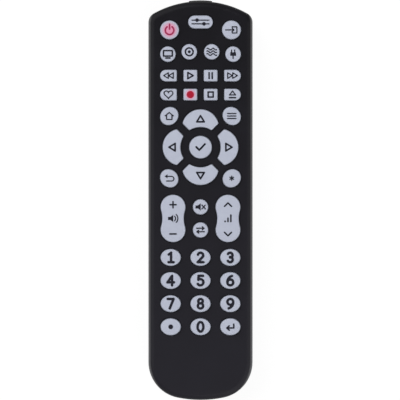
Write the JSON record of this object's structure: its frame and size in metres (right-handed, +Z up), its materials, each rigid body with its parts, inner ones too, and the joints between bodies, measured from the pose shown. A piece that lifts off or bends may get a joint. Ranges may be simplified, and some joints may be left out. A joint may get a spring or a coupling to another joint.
{
  "type": "universal remote control",
  "caption": "Hand-held infrared remote control: a slim black two-part case with grey rubber keys, a round direction pad, two rockers and a number pad, over a slide-off battery door.",
  "frame": {"origin": "middle of the footprint, on the surface that the remote lies on", "axes": "+Y towards the infrared end, +Z up out of the key face, +X across to the right of the keys"},
  "size_m": [0.0538, 0.207, 0.0235],
  "materials": {
    "case_plastic": "fine matt texture",
    "key_rubber": "smooth satin silicone",
    "mat_rubber": "satin silicone",
    "foot_rubber": "matt rubber",
    "board_laminate": "paper laminate",
    "smoked_window": "polished",
    "lamp_resin": "clear resin",
    "chip_resin": "moulded",
    "ceramic_coating": "dipped",
    "capacitor_sleeve": "shrunk sleeve",
    "zinc_screw": "zinc plated",
    "cell_jacket": "satin film",
    "nickel_plate": "nickel plated"
  },
  "bodies": {
    "case": {"back_case": "case_plastic", "battery_cell_1": "cell_jacket", "battery_cell_2": "cell_jacket", "board_screws": "zinc_screw", "case_feet": "foot_rubber", "ceramic_resonator": "ceramic_coating", "circuit_board": "board_laminate", "control_chip": "chip_resin", "front_case": "case_plastic", "indicator_lamp": "lamp_resin", "infrared_lamps": "lamp_resin", "infrared_window": "smoked_window", "keypad_mat": "mat_rubber", "linking_contact": "nickel_plate", "negative_contact": "nickel_plate", "positive_contact": "nickel_plate", "smoothing_capacitor": "capacitor_sleeve", "surface_mount_parts": "ceramic_coating"},
    "battery_door": {"battery_door": "case_plastic", "door_feet": "foot_rubber"},
    "key_0": {"key_0": "key_rubber"},
    "key_1": {"key_1": "key_rubber"},
    "key_2": {"key_2": "key_rubber"},
    "key_3": {"key_3": "key_rubber"},
    "key_4": {"key_4": "key_rubber"},
    "key_5": {"key_5": "key_rubber"},
    "key_6": {"key_6": "key_rubber"},
    "key_7": {"key_7": "key_rubber"},
    "key_8": {"key_8": "key_rubber"},
    "key_9": {"key_9": "key_rubber"},
    "key_back": {"key_back": "key_rubber"},
    "key_disc": {"key_disc": "key_rubber"},
    "key_dot": {"key_dot": "key_rubber"},
    "key_down": {"key_down": "key_rubber"},
    "key_eject": {"key_eject": "key_rubber"},
    "key_enter": {"key_enter": "key_rubber"},
    "key_favourite": {"key_favourite": "key_rubber"},
    "key_forward": {"key_forward": "key_rubber"},
    "key_home": {"key_home": "key_rubber"},
    "key_input": {"key_input": "key_rubber"},
    "key_last": {"key_last": "key_rubber"},
    "key_left": {"key_left": "key_rubber"},
    "key_menu": {"key_menu": "key_rubber"},
    "key_mute": {"key_mute": "key_rubber"},
    "key_ok": {"key_ok": "key_rubber"},
    "key_pause": {"key_pause": "key_rubber"},
    "key_play": {"key_play": "key_rubber"},
    "key_plug": {"key_plug": "key_rubber"},
    "key_power": {"key_power": "key_rubber"},
    "key_record": {"key_record": "key_rubber"},
    "key_rewind": {"key_rewind": "key_rubber"},
    "key_right": {"key_right": "key_rubber"},
    "key_screen": {"key_screen": "key_rubber"},
    "key_setup": {"key_setup": "key_rubber"},
    "key_star": {"key_star": "key_rubber"},
    "key_stop": {"key_stop": "key_rubber"},
    "key_stream": {"key_stream": "key_rubber"},
    "key_up": {"key_up": "key_rubber"},
    "rocker_channel": {"rocker_channel": "key_rubber"},
    "rocker_volume": {"rocker_volume": "key_rubber"}
  },
  "joints": [
    {"name": "battery_door_slide", "type": "slide", "parent": "case", "child": "battery_door", "axis": [0, -1, 0], "range_m": [0, 0.042]},
    {"name": "rocker_channel_tilt", "type": "hinge", "parent": "case", "child": "rocker_channel", "pos_m": [0.0142, -0.00955, 0.021], "axis": [1, 0, 0], "range_deg": [-5, 5], "stiffness_Nm_per_rad": 0.08},
    {"name": "rocker_volume_tilt", "type": "hinge", "parent": "case", "child": "rocker_volume", "pos_m": [-0.0142, -0.00955, 0.021], "axis": [1, 0, 0], "range_deg": [-5, 5], "stiffness_Nm_per_rad": 0.08},
    {"name": "key_0_press", "type": "slide", "parent": "case", "child": "key_0", "axis": [0, 0, -1], "range_m": [0, 0.0012], "stiffness_N_per_m": 800},
    {"name": "key_1_press", "type": "slide", "parent": "case", "child": "key_1", "axis": [0, 0, -1], "range_m": [0, 0.0012], "stiffness_N_per_m": 800},
    {"name": "key_2_press", "type": "slide", "parent": "case", "child": "key_2", "axis": [0, 0, -1], "range_m": [0, 0.0012], "stiffness_N_per_m": 800},
    {"name": "key_3_press", "type": "slide", "parent": "case", "child": "key_3", "axis": [0, 0, -1], "range_m": [0, 0.0012], "stiffness_N_per_m": 800},
    {"name": "key_4_press", "type": "slide", "parent": "case", "child": "key_4", "axis": [0, 0, -1], "range_m": [0, 0.0012], "stiffness_N_per_m": 800},
    {"name": "key_5_press", "type": "slide", "parent": "case", "child": "key_5", "axis": [0, 0, -1], "range_m": [0, 0.0012], "stiffness_N_per_m": 800},
    {"name": "key_6_press", "type": "slide", "parent": "case", "child": "key_6", "axis": [0, 0, -1], "range_m": [0, 0.0012], "stiffness_N_per_m": 800},
    {"name": "key_7_press", "type": "slide", "parent": "case", "child": "key_7", "axis": [0, 0, -1], "range_m": [0, 0.0012], "stiffness_N_per_m": 800},
    {"name": "key_8_press", "type": "slide", "parent": "case", "child": "key_8", "axis": [0, 0, -1], "range_m": [0, 0.0012], "stiffness_N_per_m": 800},
    {"name": "key_9_press", "type": "slide", "parent": "case", "child": "key_9", "axis": [0, 0, -1], "range_m": [0, 0.0012], "stiffness_N_per_m": 800},
    {"name": "key_back_press", "type": "slide", "parent": "case", "child": "key_back", "axis": [0, 0, -1], "range_m": [0, 0.0012], "stiffness_N_per_m": 800},
    {"name": "key_disc_press", "type": "slide", "parent": "case", "child": "key_disc", "axis": [0, 0, -1], "range_m": [0, 0.0012], "stiffness_N_per_m": 800},
    {"name": "key_dot_press", "type": "slide", "parent": "case", "child": "key_dot", "axis": [0, 0, -1], "range_m": [0, 0.0012], "stiffness_N_per_m": 800},
    {"name": "key_down_press", "type": "slide", "parent": "case", "child": "key_down", "axis": [0, 0, -1], "range_m": [0, 0.0012], "stiffness_N_per_m": 800},
    {"name": "key_eject_press", "type": "slide", "parent": "case", "child": "key_eject", "axis": [0, 0, -1], "range_m": [0, 0.0012], "stiffness_N_per_m": 800},
    {"name": "key_enter_press", "type": "slide", "parent": "case", "child": "key_enter", "axis": [0, 0, -1], "range_m": [0, 0.0012], "stiffness_N_per_m": 800},
    {"name": "key_favourite_press", "type": "slide", "parent": "case", "child": "key_favourite", "axis": [0, 0, -1], "range_m": [0, 0.0012], "stiffness_N_per_m": 800},
    {"name": "key_forward_press", "type": "slide", "parent": "case", "child": "key_forward", "axis": [0, 0, -1], "range_m": [0, 0.0012], "stiffness_N_per_m": 800},
    {"name": "key_home_press", "type": "slide", "parent": "case", "child": "key_home", "axis": [0, 0, -1], "range_m": [0, 0.0012], "stiffness_N_per_m": 800},
    {"name": "key_input_press", "type": "slide", "parent": "case", "child": "key_input", "axis": [0, 0, -1], "range_m": [0, 0.0012], "stiffness_N_per_m": 800},
    {"name": "key_last_press", "type": "slide", "parent": "case", "child": "key_last", "axis": [0, 0, -1], "range_m": [0, 0.0012], "stiffness_N_per_m": 800},
    {"name": "key_left_press", "type": "slide", "parent": "case", "child": "key_left", "axis": [0, 0, -1], "range_m": [0, 0.0012], "stiffness_N_per_m": 800},
    {"name": "key_menu_press", "type": "slide", "parent": "case", "child": "key_menu", "axis": [0, 0, -1], "range_m": [0, 0.0012], "stiffness_N_per_m": 800},
    {"name": "key_mute_press", "type": "slide", "parent": "case", "child": "key_mute", "axis": [0, 0, -1], "range_m": [0, 0.0012], "stiffness_N_per_m": 800},
    {"name": "key_ok_press", "type": "slide", "parent": "case", "child": "key_ok", "axis": [0, 0, -1], "range_m": [0, 0.0012], "stiffness_N_per_m": 800},
    {"name": "key_pause_press", "type": "slide", "parent": "case", "child": "key_pause", "axis": [0, 0, -1], "range_m": [0, 0.0012], "stiffness_N_per_m": 800},
    {"name": "key_play_press", "type": "slide", "parent": "case", "child": "key_play", "axis": [0, 0, -1], "range_m": [0, 0.0012], "stiffness_N_per_m": 800},
    {"name": "key_plug_press", "type": "slide", "parent": "case", "child": "key_plug", "axis": [0, 0, -1], "range_m": [0, 0.0012], "stiffness_N_per_m": 800},
    {"name": "key_power_press", "type": "slide", "parent": "case", "child": "key_power", "axis": [0, 0, -1], "range_m": [0, 0.0012], "stiffness_N_per_m": 800},
    {"name": "key_record_press", "type": "slide", "parent": "case", "child": "key_record", "axis": [0, 0, -1], "range_m": [0, 0.0012], "stiffness_N_per_m": 800},
    {"name": "key_rewind_press", "type": "slide", "parent": "case", "child": "key_rewind", "axis": [0, 0, -1], "range_m": [0, 0.0012], "stiffness_N_per_m": 800},
    {"name": "key_right_press", "type": "slide", "parent": "case", "child": "key_right", "axis": [0, 0, -1], "range_m": [0, 0.0012], "stiffness_N_per_m": 800},
    {"name": "key_screen_press", "type": "slide", "parent": "case", "child": "key_screen", "axis": [0, 0, -1], "range_m": [0, 0.0012], "stiffness_N_per_m": 800},
    {"name": "key_setup_press", "type": "slide", "parent": "case", "child": "key_setup", "axis": [0, 0, -1], "range_m": [0, 0.0012], "stiffness_N_per_m": 800},
    {"name": "key_star_press", "type": "slide", "parent": "case", "child": "key_star", "axis": [0, 0, -1], "range_m": [0, 0.0012], "stiffness_N_per_m": 800},
    {"name": "key_stop_press", "type": "slide", "parent": "case", "child": "key_stop", "axis": [0, 0, -1], "range_m": [0, 0.0012], "stiffness_N_per_m": 800},
    {"name": "key_stream_press", "type": "slide", "parent": "case", "child": "key_stream", "axis": [0, 0, -1], "range_m": [0, 0.0012], "stiffness_N_per_m": 800},
    {"name": "key_up_press", "type": "slide", "parent": "case", "child": "key_up", "axis": [0, 0, -1], "range_m": [0, 0.0012], "stiffness_N_per_m": 800}
  ]
}
